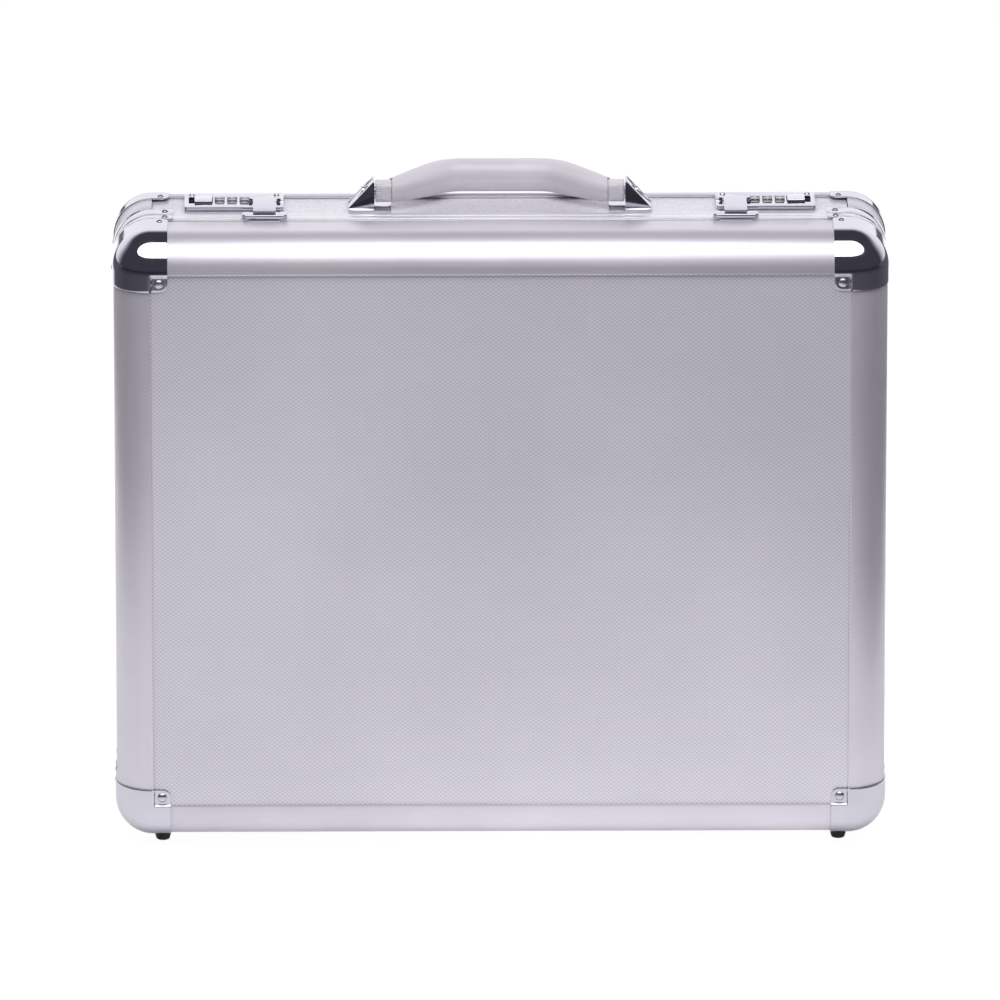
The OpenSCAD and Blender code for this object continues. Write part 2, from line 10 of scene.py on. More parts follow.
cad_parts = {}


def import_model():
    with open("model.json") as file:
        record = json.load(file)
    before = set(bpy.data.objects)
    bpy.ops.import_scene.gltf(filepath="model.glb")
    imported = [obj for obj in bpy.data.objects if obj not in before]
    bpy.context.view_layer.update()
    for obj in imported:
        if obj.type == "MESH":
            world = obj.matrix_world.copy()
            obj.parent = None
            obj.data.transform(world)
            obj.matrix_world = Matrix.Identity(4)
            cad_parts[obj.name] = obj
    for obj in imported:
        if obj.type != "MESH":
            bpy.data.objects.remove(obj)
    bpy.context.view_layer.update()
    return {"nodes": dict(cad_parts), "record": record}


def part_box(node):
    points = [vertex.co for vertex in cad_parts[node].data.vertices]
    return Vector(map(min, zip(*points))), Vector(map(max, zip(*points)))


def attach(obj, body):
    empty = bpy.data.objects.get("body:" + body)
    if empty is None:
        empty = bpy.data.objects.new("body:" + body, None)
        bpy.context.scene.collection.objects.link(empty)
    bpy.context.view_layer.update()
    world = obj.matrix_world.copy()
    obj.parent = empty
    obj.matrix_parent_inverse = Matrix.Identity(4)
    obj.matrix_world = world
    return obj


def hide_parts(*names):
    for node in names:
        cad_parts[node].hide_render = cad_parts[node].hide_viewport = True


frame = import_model()
RECORD = frame["record"]
BODY_OF = {n: b for b, nodes in RECORD["behaviour"]["bodies"].items() for n in nodes}
SLOT_OF = {s["node"]: s["material_slot"] for s in RECORD["subparts"]}
JOINT = {j["name"]: j for j in RECORD["behaviour"]["joints"]}
MM = 0.001

# ---- driving sizes, from the frame ------------------------------------------------------
CASE_W = 460 * MM
CASE_H = 374 * MM
CASE_D = 124 * MM
FLOOR_TO_CASE = 5.6 * MM
Z_MID = FLOOR_TO_CASE + CASE_H / 2
Y_FACE = CASE_D / 2
BEND = 23 * MM           # radius of the ball corners
PROUD = 0.8 * MM         # the corners stand this far over the rails
EAR = 10 * MM
SKIN = 0.7 * MM          # thickness of the corner pressings
EAR_STEP = 1.5 * MM      # how far the ears on the faces are set back towards the panels
RAIL_T = 1.3 * MM        # a little under the CAD wall, so a dark seam shows along the boards
BOARD_AT = 2.4 * MM      # depth of the boards' and panels' outer faces
BAND = {"lid": 19 * MM, "base": 3 * MM}
LEG = {"lid": 46 * MM, "base": 33 * MM}
HALF = {"lid": 1, "base": -1}


# ---- materials ----------------------------------------------------------------------------
def new_material(name, base, rough, metallic=0.0, **more):
    """A Principled material; more holds further socket values, by socket name."""
    m = bpy.data.materials.new(name)
    m.use_nodes = True
    bsdf = m.node_tree.nodes["Principled BSDF"]
    bsdf.inputs["Base Color"].default_value = (*base, 1)
    bsdf.inputs["Roughness"].default_value = rough
    bsdf.inputs["Metallic"].default_value = metallic
    for key, value in more.items():
        bsdf.inputs[key.replace("_", " ")].default_value = value
    return m


def node(m, kind, **values):
    n = m.node_tree.nodes.new(kind)
    for key, value in values.items():
        if hasattr(n, key):
            setattr(n, key, value)
        else:
            n.inputs[key.replace("_", " ")].default_value = value
    return n


def link(m, a, b):
    m.node_tree.links.new(a, b)


def object_coords(m, scale):
    """Object coordinates, stretched by scale."""
    tc = node(m, "ShaderNodeTexCoord")
    mp = node(m, "ShaderNodeMapping")
    mp.inputs["Scale"].default_value = scale
    link(m, tc.outputs["Object"], mp.inputs["Vector"])
    return mp.outputs["Vector"]


def noise(m, scale, vector, detail=3.0, rough=0.5):
    n = node(m, "ShaderNodeTexNoise")
    n.inputs["Scale"].default_value = scale
    n.inputs["Detail"].default_value = detail
    n.inputs["Roughness"].default_value = rough
    link(m, vector, n.inputs["Vector"])
    return n.outputs["Fac"]


def spread(m, fac, low, high, stops=(0.3, 0.7)):
    """Maps a factor to the range low to high."""
    r = node(m, "ShaderNodeMapRange")
    r.inputs["From Min"].default_value = stops[0]
    r.inputs["From Max"].default_value = stops[1]
    r.inputs["To Min"].default_value = low
    r.inputs["To Max"].default_value = high
    link(m, fac, r.inputs["Value"])
    return r.outputs["Result"]


def tint(m, fac, dark, light):
    """Colour between dark and light."""
    mix = node(m, "ShaderNodeMix", data_type="RGBA")
    mix.inputs["A"].default_value = (*dark, 1)
    mix.inputs["B"].default_value = (*light, 1)
    link(m, fac, mix.inputs["Factor"])
    link(m, mix.outputs["Result"], m.node_tree.nodes["Principled BSDF"].inputs["Base Color"])


def bump(m, height, distance, strength=1.0):
    b = node(m, "ShaderNodeBump")
    b.inputs["Distance"].default_value = distance
    b.inputs["Strength"].default_value = strength
    link(m, height, b.inputs["Height"])
    link(m, b.outputs["Normal"], m.node_tree.nodes["Principled BSDF"].inputs["Normal"])


def set_rough(m, value):
    link(m, value, m.node_tree.nodes["Principled BSDF"].inputs["Roughness"])


def satin_metal(name, dark, light, rough, stretch, metallic=0.55):
    """Anodised aluminium with long fine drawn lines; stretch scales the lines' coordinates."""
    m = new_material(name, light, rough, metallic=metallic)
    lines = noise(m, 1100, object_coords(m, stretch), detail=1)
    cloud = noise(m, 8, object_coords(m, (1, 1, 1)), detail=4)
    tint(m, spread(m, cloud, 0, 1), dark, light)
    set_rough(m, spread(m, lines, rough - 0.04, rough + 0.05))
    bump(m, lines, 0.00001, 0.15)
    return m


def embossed_metal():
    """Diamond-embossed sheet: the dips, given by the mesh's own colour layer, are painted darker as shade
    and the raised diamonds lighter, with a little random cloud on top.
    """
    m = new_material("embossed_panel", (0.76, 0.74, 0.80), 0.36, metallic=0.32)
    # painted shade: the colour follows the emboss height, dark in the dips and light on the raised diamonds
    raised = node(m, "ShaderNodeAttribute", attribute_name="raised")
    cloud = noise(m, 6, object_coords(m, (1, 1, 1)), detail=5)
    shade = node(m, "ShaderNodeMath", operation="MULTIPLY_ADD")
    link(m, raised.outputs["Fac"], shade.inputs[0])
    shade.inputs[1].default_value = 0.75
    link(m, spread(m, cloud, 0.0, 0.25), shade.inputs[2])
    tint(m, shade.outputs["Value"], (0.50, 0.485, 0.545), (0.90, 0.88, 0.94))
    grain = noise(m, 2600, object_coords(m, (1, 1, 1)), detail=2)
    set_rough(m, spread(m, grain, 0.30, 0.42))
    bump(m, grain, 0.00002, 0.25)
    return m


def stippled_metal():
    m = new_material("stippled_wall", (0.80, 0.79, 0.84), 0.42, metallic=0.45)
    v = node(m, "ShaderNodeTexVoronoi")
    v.inputs["Scale"].default_value = 620
    link(m, object_coords(m, (1, 1, 1)), v.inputs["Vector"])
    tint(m, spread(m, v.outputs["Distance"], 0, 1, (0.1, 0.7)), (0.90, 0.89, 0.93), (0.74, 0.73, 0.78))
    bump(m, v.outputs["Distance"], 0.00010, 0.35)
    return m


def plated(name, base, rough):
    """Polished plating with faint smears."""
    m = new_material(name, base, rough, metallic=1.0)
    smear = noise(m, 60, object_coords(m, (1, 2.5, 1)), detail=5)
    set_rough(m, spread(m, smear, rough * 0.7, rough * 1.9))
    return m


def moulded(name, dark, light, rough):
    m = new_material(name, light, rough)
    cloud = noise(m, 30, object_coords(m, (1, 1, 1)), detail=4)
    tint(m, spread(m, cloud, 0, 1), dark, light)
    grain = noise(m, 3000, object_coords(m, (1, 1, 1)), detail=2)
    bump(m, grain, 0.00003, 0.4)
    return m


def cloth(name, dark, light, threads):
    """Woven cloth: two crossed sets of threads."""
    m = new_material(name, light, 0.9, Sheen_Weight=0.35, Sheen_Roughness=0.5)
    coords = object_coords(m, (1, 1, 1))
    waves = []
    for direction in ("X", "Z"):
        w = node(m, "ShaderNodeTexWave", bands_direction=direction)
        w.inputs["Scale"].default_value = threads
        w.inputs["Distortion"].default_value = 1.2
        w.inputs["Detail"].default_value = 1
        link(m, coords, w.inputs["Vector"])
        waves.append(w.outputs["Fac"])
    weave = node(m, "ShaderNodeMath", operation="MAXIMUM")
    link(m, waves[0], weave.inputs[0])
    link(m, waves[1], weave.inputs[1])
    fuzz = noise(m, 140, coords, detail=6)
    tint(m, spread(m, fuzz, 0, 1), dark, light)
    bump(m, weave.outputs["Value"], 0.0002, 0.7)
    return m


RAIL_DARK = (0.66, 0.632, 0.70)
RAIL_LIGHT = (0.76, 0.73, 0.795)
MAT = {
    "panel": embossed_metal(),
    "wall_board": stippled_metal(),
    "rail": satin_metal("rail_metal", RAIL_DARK, RAIL_LIGHT, 0.40, (0.004, 1, 1)),
    "rail_side": satin_metal("rail_side_metal", RAIL_DARK, RAIL_LIGHT, 0.40, (1, 1, 0.004)),
    "rim": satin_metal("rim_metal", (0.78, 0.77, 0.81), (0.86, 0.85, 0.88), 0.36, (0.01, 1, 0.01)),
    "chrome": plated("chrome_plate", (0.60, 0.595, 0.655), 0.06),
    "button": plated("button_plate", (0.70, 0.70, 0.74), 0.12),
    "fastener": plated("rivet_plate", (0.60, 0.585, 0.59), 0.2),
    "steel": satin_metal("zinc_steel", (0.50, 0.50, 0.52), (0.62, 0.62, 0.64), 0.34, (0.1, 1, 1), 0.9),
    "dial": plated("dial_nickel", (0.30, 0.295, 0.31), 0.3),
    "grip": moulded("grip_plastic", (0.60, 0.57, 0.625), (0.66, 0.63, 0.685), 0.42),
    "cap": moulded("cap_plastic", (0.60, 0.575, 0.625), (0.66, 0.635, 0.685), 0.4),
    "rubber": moulded("foot_rubber", (0.012, 0.012, 0.013), (0.03, 0.03, 0.032), 0.55),
    "lining": cloth("lining_cloth", (0.030, 0.030, 0.034), (0.060, 0.060, 0.067), 260),
    "pocket": cloth("pocket_cloth", (0.020, 0.020, 0.024), (0.042, 0.042, 0.050), 190),
}
INK = new_material("dial_ink", (0.80, 0.80, 0.78), 0.5)


# ---- making pieces ------------------------------------------------------------------------
def finish_piece(ob, node_name, material, body=None):
    """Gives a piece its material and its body."""
    ob.data.materials.clear()
    ob.data.materials.append(material)
    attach(ob, body or BODY_OF[node_name])
    return ob


def object_from(name, verts, faces, smooth_deg=40):
    me = bpy.data.meshes.new(name)
    me.from_pydata([tuple(v) for v in verts], [], faces)
    me.validate()
    ob = bpy.data.objects.new(name, me)
    bpy.context.scene.collection.objects.link(ob)
    tidy_normals(ob, smooth_deg)
    return ob


def tidy_normals(ob, smooth_deg):
    bm = bmesh.new()
    bm.from_mesh(ob.data)
    bmesh.ops.recalc_face_normals(bm, faces=bm.faces)
    for f in bm.faces:
        f.smooth = True
    bm.to_mesh(ob.data)
    bm.free()
    ob.data.set_sharp_from_angle(angle=math.radians(smooth_deg))


def bake_modifiers(ob):
    """Applies the object's modifiers to its mesh."""
    deps = bpy.context.evaluated_depsgraph_get()
    me = bpy.data.meshes.new_from_object(ob.evaluated_get(deps))
    ob.modifiers.clear()
    ob.data = me


def bevel(ob, width, segments=2, angle=32, smooth_deg=40):
    b = ob.modifiers.new("bevel", "BEVEL")
    b.width = width
    b.segments = segments
    b.limit_method = "ANGLE"
    b.angle_limit = math.radians(angle)
    b.harden_normals = False
    bake_modifiers(ob)
    tidy_normals(ob, smooth_deg)


def softened(node_name, width, material=None, segments=2):
    """Stands for a CAD node with the same shape and its sharp edges rounded over."""
    src = frame["nodes"][node_name]
    bm = bmesh.new()
    bm.from_mesh(src.data)
    bmesh.ops.remove_doubles(bm, verts=bm.verts, dist=2e-6)
    bmesh.ops.dissolve_limit(bm, angle_limit=math.radians(0.5), verts=bm.verts, edges=bm.edges)
    me = bpy.data.meshes.new(node_name + "_soft")
    bm.to_mesh(me)
    bm.free()
    ob = bpy.data.objects.new(node_name + "_soft", me)
    bpy.context.scene.collection.objects.link(ob)
    bevel(ob, width, segments)
    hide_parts(node_name)
    return finish_piece(ob, node_name, material or MAT[SLOT_OF[node_name]])


def in_half(half, x, a, z):
    """A point from across, depth in from that half's face, and up."""
    return Vector((x, -HALF[half] * (Y_FACE - a), z))


# ---- shell --------------------------------------------------------------------------------
def rail_outline(half):
    """A rail's closed section: depth in from the face and distance in from the outside."""
    steps = 28
    outer, inner = BEND - PROUD, BEND - PROUD - RAIL_T
    arc = [math.pi / 2 * i / steps for i in range(steps + 1)]
    points = [(BEND - outer * math.cos(t), BEND - outer * math.sin(t)) for t in arc]
    points += [(BEND + BAND[half], PROUD), (BEND + BAND[half], PROUD + RAIL_T)]
    points += [(BEND - inner * math.cos(t), BEND - inner * math.sin(t)) for t in reversed(arc)]
    return points


def rail(half, side, turn, length, reach):
    """A rail along one side: turn is the side's angle about Y, reach its distance out."""
    outline = rail_outline(half)
    n = len(outline)
    spin = Matrix.Rotation(math.radians(turn), 4, "Y")
    verts = []
    for x in (-length / 2, length / 2):
        for a, b in outline:
            p = spin @ Vector((x, 0, reach - b))
            verts.append(in_half(half, p.x, a, Z_MID + p.z))
    faces = [(i, (i + 1) % n, n + (i + 1) % n, n + i) for i in range(n)]
    faces += [tuple(range(n)), tuple(range(2 * n - 1, n - 1, -1))]
    name = f"{half}_rail_{side}"
    ob = object_from(name + "_drawn", verts, faces)
    bevel(ob, 0.35 * MM, 2)
    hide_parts(name)
    return finish_piece(ob, name, MAT["rail" if turn % 180 == 0 else "rail_side"])


SIDES = (("top", 0), ("right", 90), ("bottom", 180), ("left", 270))
for half in HALF:
    for side, turn in SIDES:
        level = turn % 180 == 0
        rail(half, side, turn, (CASE_W if level else CASE_H) - 2 * BEND - 0.2 * MM,
             (CASE_H if level else CASE_W) / 2)


def spaced(limit):
    """Places along one edge of a corner's box: even over the ball, close at the ear's step."""
    ball = [BEND * i / 18 for i in range(19)]
    rest = limit - BEND - 0.7 * MM
    steps = max(4, round(rest / (1.4 * MM)))
    return ball + [BEND + k * MM for k in (0.12, 0.7)] + [
        BEND + 0.7 * MM + rest * (i + 1) / steps for i in range(steps)]


def corner_patch(fixed, size, round_at):
    """A grid on one face of a corner's box, with its outer corner rounded. fixed is the axis at 0."""
    u_max, v_max = (size[k] for k in range(3) if k != fixed)
    us, vs = spaced(u_max), spaced(v_max)
    grid = []
    for u in us:
        for v in vs:
            du, dv = u - (u_max - round_at), v - (v_max - round_at)
            if du > 0 and dv > 0:
                far = math.hypot(du, dv) / max(du, dv)
                u_at, v_at = u_max - round_at + du / far, v_max - round_at + dv / far
            else:
                u_at, v_at = u, v
            p = [u_at, v_at]
            p.insert(fixed, 0.0)
            grid.append(p)
    n = len(vs)
    quads = [(i * n + j, (i + 1) * n + j, (i + 1) * n + j + 1, i * n + j + 1)
             for i in range(len(us) - 1) for j in range(n - 1)]
    return grid, quads


def pressed_point(q, fixed):
    """A point of a corner's box, pushed out on to the ball and its legs, with the ear set back."""
    core = Vector([max(c, BEND) for c in q])
    p = core + (q - core).normalized() * BEND
    if fixed == 1:
        past = min(q[0], q[2]) - BEND
        p.y += EAR_STEP * min(max((past - 0.1 * MM) / (0.5 * MM), 0), 1)
    return p


def mesh_between(name, verts, faces, inside):
    """A one-sided skin whose normals point away from a point inside."""
    me = bpy.data.meshes.new(name)
    me.from_pydata([tuple(p) for p in verts], [], faces)
    bm = bmesh.new()
    bm.from_mesh(me)
    bmesh.ops.remove_doubles(bm, verts=bm.verts, dist=1e-5)
    bmesh.ops.recalc_face_normals(bm, faces=bm.faces)
    if sum((f.calc_center_median() - inside).dot(f.normal) for f in bm.faces) < 0:
        bmesh.ops.reverse_faces(bm, faces=bm.faces)
    bm.to_mesh(me)
    bm.free()
    ob = bpy.data.objects.new(name, me)
    bpy.context.scene.collection.objects.link(ob)
    return ob


def ball_corner(half, tag, sx, sz):
    """A pressed corner: a corner box pushed on to a ball and its three quarter-round legs."""
    size = (BEND + EAR, LEG[half], BEND + EAR)
    verts, faces = [], []
    for fixed in range(3):
        grid, quads = corner_patch(fixed, size, 4.5 * MM)
        start = len(verts)
        verts += [pressed_point(Vector(q), fixed) for q in grid]
        faces += [tuple(start + k for k in quad) for quad in quads]
    placed = [in_half(half, sx * (CASE_W / 2 - v[0]), v[1], Z_MID + sz * (CASE_H / 2 - v[2])) for v in verts]
    name = f"{half}_corner_{tag}"
    ob = mesh_between(name + "_pressed", placed, faces, in_half(half, 0, 50 * MM, Z_MID))
    wall = ob.modifiers.new("wall", "SOLIDIFY")
    wall.thickness = SKIN
    wall.offset = -1
    bake_modifiers(ob)
    bevel(ob, 0.1 * MM, 2, angle=60, smooth_deg=45)
    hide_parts(name)
    return finish_piece(ob, name, MAT["chrome"])


CORNERS = (("tr", 1, 1), ("br", 1, -1), ("bl", -1, -1), ("tl", -1, 1))
for half in HALF:
    for tag, sx, sz in CORNERS:
        ball_corner(half, tag, sx, sz)

for name in ("lid_rim", "base_rim", "base_corner_inserts"):
    softened(name, 0.3 * MM)
for name in ("lid_rim_corners", "base_rim_corners"):
    softened(name, 0.2 * MM)
for name in ("lock_plate_left", "lock_plate_right", "hasp_left", "hasp_right", "catch_left",
             "catch_right", "handle_bracket_left", "handle_bracket_right", "button_left",
             "button_right"):
    softened(name, 0.45 * MM, segments=3)
for name in ("hinge_lid_leaves", "hinge_base_leaves", "lock_case_left", "lock_case_right",
             "lock_screws"):
    softened(name, 0.2 * MM)
for name in ("lid_feet", "base_feet"):
    softened(name, 0.9 * MM, segments=4)
for name in ("lid_lining", "base_lining"):
    softened(name, 0.5 * MM)
for name in ("lid_boards", "base_boards", "hinge_pins", "handle_pins", "dial_axles", "hasp_pins"):
    softened(name, 0.1 * MM)


# ---- embossed face panels ---------------------------------------------------------------------
EMBOSS = 0.4 * MM
EMBOSS_STEP = (1.5 * MM, 1.2 * MM)


def diamond_faces(columns, rows):
    """Triangles of a grid of points, each square split along the ridge between its two raised corners."""
    i, j = np.meshgrid(np.arange(columns - 1), np.arange(rows - 1), indexing="ij")
    i, j = i.ravel(), j.ravel()
    a = i * rows + j
    b, c, d = a + rows, a + rows + 1, a + 1
    even = ((i + j) % 2 == 0)[:, None]
    first = np.where(even, np.stack([a, b, c], 1), np.stack([b, c, d], 1))
    second = np.where(even, np.stack([a, c, d], 1), np.stack([b, d, a], 1))
    return np.concatenate([first, second])


def mesh_from_triangles(name, verts, tris):
    me = bpy.data.meshes.new(name)
    me.vertices.add(len(verts))
    me.vertices.foreach_set("co", verts.astype(np.float32).ravel())
    me.loops.add(tris.size)
    me.loops.foreach_set("vertex_index", tris.astype(np.int32).ravel())
    me.polygons.add(len(tris))
    me.polygons.foreach_set("loop_start", np.arange(0, tris.size, 3, dtype=np.int32))
    me.update(calc_edges=True)
    me.validate()
    ob = bpy.data.objects.new(name, me)
    bpy.context.scene.collection.objects.link(ob)
    return ob


def embossed_panel(half):
    """A sheet with small raised diamonds all over its outer face."""
    name = f"{half}_panel"
    low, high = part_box(name)
    nx = 2 * round((high[0] - low[0]) / EMBOSS_STEP[0] / 2) + 1
    nz = 2 * round((high[2] - low[2]) / EMBOSS_STEP[1] / 2) + 1
    x, z = np.meshgrid(np.linspace(low[0], high[0], nx), np.linspace(low[2], high[2], nz), indexing="ij")
    i, j = np.meshgrid(np.arange(nx), np.arange(nz), indexing="ij")
    raised = np.where((i + j) % 2 == 0, EMBOSS, 0.0)
    outward = -HALF[half]
    front = outward * (Y_FACE - BOARD_AT)
    back = outward * (Y_FACE - BOARD_AT - 1.6 * MM)
    outer = np.stack([x, front + outward * (raised - EMBOSS / 2), z], axis=-1).reshape(-1, 3)
    rim = np.array([k for k in range(nz)] + [i * nz + nz - 1 for i in range(1, nx)]
                   + [(nx - 1) * nz + k for k in range(nz - 2, -1, -1)]
                   + [i * nz for i in range(nx - 2, 0, -1)])
    inner = outer[rim].copy()
    inner[:, 1] = back
    n = len(rim)
    start = len(outer)
    ring = start + np.arange(n)
    after, ring_after = np.roll(rim, -1), np.roll(ring, -1)
    wall = np.concatenate([np.stack([rim, after, ring_after], 1), np.stack([rim, ring_after, ring], 1)])
    ob = mesh_from_triangles(name + "_embossed", np.concatenate([outer, inner]),
                             np.concatenate([diamond_faces(nx, nz), wall]))
    bm = bmesh.new()
    bm.from_mesh(ob.data)
    bm.verts.ensure_lookup_table()
    bm.faces.new([bm.verts[start + k] for k in range(n)])
    bm.to_mesh(ob.data)
    bm.free()
    tidy_normals(ob, 60)
    # marks the raised diamonds; the panel material paints the dips darker from it, as shade
    layer = ob.data.color_attributes.new("raised", "FLOAT_COLOR", "POINT")
    tone = np.ones((len(ob.data.vertices), 4), dtype=np.float32)
    tone[:len(outer), :3] = (raised.reshape(-1, 1) / EMBOSS)
    layer.data.foreach_set("color", tone.ravel())
    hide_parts(name)
    return finish_piece(ob, name, MAT["panel"])


for half in HALF:
    embossed_panel(half)


# ---- rivets and screws --------------------------------------------------------------------------
def lathed_head(radius, height, at, out, cross=0.0, rings=8, segments=32):
    """A domed head at a point, looking out; cross is the half width of a driver's cross recess."""
    out = Vector(out).normalized()
    across = out.orthogonal().normalized()
    up = out.cross(across)
    verts, faces = [Vector(at) + out * (height - (0.5 * height if cross else 0))], []
    for r in range(1, rings + 1):
        dist = radius * r / rings
        dome = height * math.sqrt(max(1 - (0.98 * r / rings) ** 2, 0))
        for k in range(segments):
            t = 2 * math.pi * k / segments
            x, y = dist * math.cos(t), dist * math.sin(t)
            sunk = cross and min(abs(x), abs(y)) < cross and dist < 0.68 * radius
            verts.append(Vector(at) + across * x + up * y + out * (dome * (0.45 if sunk else 1)))
    for k in range(segments):
        faces.append((0, 1 + k, 1 + (k + 1) % segments))
    for r in range(rings - 1):
        for k in range(segments):
            a, b = 1 + r * segments + k, 1 + r * segments + (k + 1) % segments
            faces.append((a, a + segments, b + segments, b))
    last = 1 + (rings - 1) * segments
    base = len(verts)
    verts += [v - out * (height * 0.2 + 0.4 * MM) for v in verts[last:last + segments]]
    faces += [(last + k, base + k, base + (k + 1) % segments, last + (k + 1) % segments)
              for k in range(segments)]
    faces.append(tuple(base + k for k in range(segments)))
    return verts, faces


def joined(name, parts, smooth_deg=40):
    verts, faces = [], []
    for v, f in parts:
        start = len(verts)
        verts += v
        faces += [tuple(start + k for k in face) for face in f]
    return object_from(name, verts, faces, smooth_deg)


# for each row of screws: depth from the half's face, and distance in from the end of the side
SCREW_ROWS = {"lid": ((40 * MM, 28 * MM), (50.2 * MM, 31 * MM)),
              "base": ((28 * MM, 28 * MM), (61 * MM, 31 * MM))}
SCREW_SIZE = (1.9 * MM, 0.75 * MM)       # radius and height of a screw head
SCREW_CROSS = 0.3 * MM
RIVET_SIZE = (2.8 * MM, 1.5 * MM)
FACE_RIVET_IN = 28 * MM


def heads(half):
    """The rivets on a face and the screws on the four sides."""
    parts = []
    out = (0, -HALF[half], 0)
    for sx in (-1, 1):
        for sz in (-1, 1):
            x, z = sx * (CASE_W / 2 - FACE_RIVET_IN), sz * (CASE_H / 2 - FACE_RIVET_IN)
            parts.append(lathed_head(*RIVET_SIZE, in_half(half, x, EAR_STEP, Z_MID + z), out))
    for side, turn in SIDES:
        spin = Matrix.Rotation(math.radians(turn), 4, "Y")
        length, reach = (CASE_W, CASE_H / 2) if turn % 180 == 0 else (CASE_H, CASE_W / 2)
        for s in (-1, 1):
            for row, (a, inset) in enumerate(SCREW_ROWS[half]):
                if half == "base" and side == "bottom" and row == 0:
                    continue
                p = spin @ Vector((s * (length / 2 - inset), 0, reach - (0 if row == 0 else 0.1 * MM)))
                out = spin @ Vector((0, 0, 1))
                at = in_half(half, p.x, a, Z_MID + p.z)
                parts.append(lathed_head(*SCREW_SIZE, at, out, SCREW_CROSS))
    ob = joined(f"{half}_rivet_heads", parts)
    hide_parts(f"{half}_rivets")
    return finish_piece(ob, f"{half}_rivets", MAT["fastener"])


for half in HALF:
    heads(half)


# ---- handle -----------------------------------------------------------------------------------
PIVOT = Vector(JOINT["handle_pivot"]["pos_m"])
HANDLE_ARM = 31 * MM
HANDLE_REST = math.radians(2.4)
CAP_IN = 64 * MM
GRIP_SLOPE = math.radians(43.5)


def in_handle(x, along, over):
    """A point in the handle's own plane at rest: across, away from the pivots, and over the plane."""
    c, s = math.cos(HANDLE_REST), math.sin(HANDLE_REST)
    return PIVOT + Vector((x, along * c - over * s, along * s + over * c))


def grip_path():
    """Centre line of the grip: level middle, rounded knees and two slopes down to the caps."""
    knee = CAP_IN - HANDLE_ARM / math.tan(GRIP_SLOPE)
    bend_r = 24 * MM
    reach = bend_r * math.tan(GRIP_SLOPE / 2)
    points = []
    for i in range(10):
        points.append((knee - reach - (knee - reach) * i / 10, HANDLE_ARM))
    points.reverse()
    for i in range(13):
        t = GRIP_SLOPE * i / 12
        points.append((knee - reach + bend_r * math.sin(t), HANDLE_ARM - bend_r * (1 - math.cos(t))))
    start = points[-1]
    for i in range(1, 13):
        f = i / 12
        points.append((start[0] + (CAP_IN - start[0]) * f, start[1] * (1 - f)))
    left = [(-x, y) for x, y in reversed(points)]
    return left + points[1:] if points[0][0] < 1e-9 else left + points


def grip_radius(x):
    """The grip is fullest in the middle and thinner at the caps."""
    t = min(abs(x) / CAP_IN, 1)
    return 9.45 * MM - 2.6 * MM * max(0, (t - 0.5) / 0.5) ** 1.6


def grip():
    path = grip_path()
    sides = 48
    verts, faces = [], []
    for k, (x, along) in enumerate(path):
        a, b = path[max(k - 1, 0)], path[min(k + 1, len(path) - 1)]
        run = Vector((b[0] - a[0], b[1] - a[1])).normalized()
        end = k in (0, len(path) - 1)
        normal = Vector((0, 1)) if end else Vector((-run[1], run[0]))
        r = grip_radius(x)
        for i in range(sides):
            t = 2 * math.pi * i / sides
            c, s = math.cos(t), math.sin(t)
            squared = (abs(c) ** 2.6 + abs(s) ** 2.6) ** (-1 / 2.6)
            seam = 0.22 * MM if i % (sides // 2) == 0 else 0
            out, over = (r * squared - seam) * c, r * squared * s
            verts.append(in_handle(x + normal[0] * out, along + normal[1] * out, over))
    for k in range(len(path) - 1):
        for i in range(sides):
            a, b = k * sides + i, k * sides + (i + 1) % sides
            faces.append((a, b, b + sides, a + sides))
    faces += [tuple(range(sides)), tuple(len(verts) - 1 - i for i in range(sides))]
    ob = object_from("handle_grip_moulded", verts, faces, 50)
    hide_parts("handle_grip")
    return finish_piece(ob, "handle_grip", MAT["grip"])


def cap(side):
    """An end cap: a rounded square with eased ends and fine ribs round its outer third."""
    half_size = 5.9 * MM
    stations = [(0, 0.86), (0.25, 0.95), (0.7, 1.0), (6.2, 1.0), (6.4, 0.965), (6.7, 0.965), (6.9, 1.0)]
    stations += [(9.3, 1.0), (9.8, 0.95), (10, 0.88)]
    sides = 96
    verts, faces = [], []
    for x, size in stations:
        for i in range(sides):
            t = 2 * math.pi * i / sides
            c, s = math.cos(t), math.sin(t)
            squared = (abs(c) ** 5 + abs(s) ** 5) ** (-1 / 5)
            rib = 0.28 * MM * (i % 3 == 0) * (x >= 6.9)
            r = half_size * squared * size - rib
            verts.append(in_handle(side * (CAP_IN + x * MM), r * c, r * s))
    for k in range(len(stations) - 1):
        for i in range(sides):
            a, b = k * sides + i, k * sides + (i + 1) % sides
            faces.append((a, b, b + sides, a + sides))
    faces += [tuple(range(sides)), tuple(len(verts) - 1 - i for i in range(sides))]
    return verts, faces


grip()
caps = joined("handle_caps_ribbed", [cap(-1), cap(1)], 30)
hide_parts("handle_caps")
finish_piece(caps, "handle_caps", MAT["cap"])


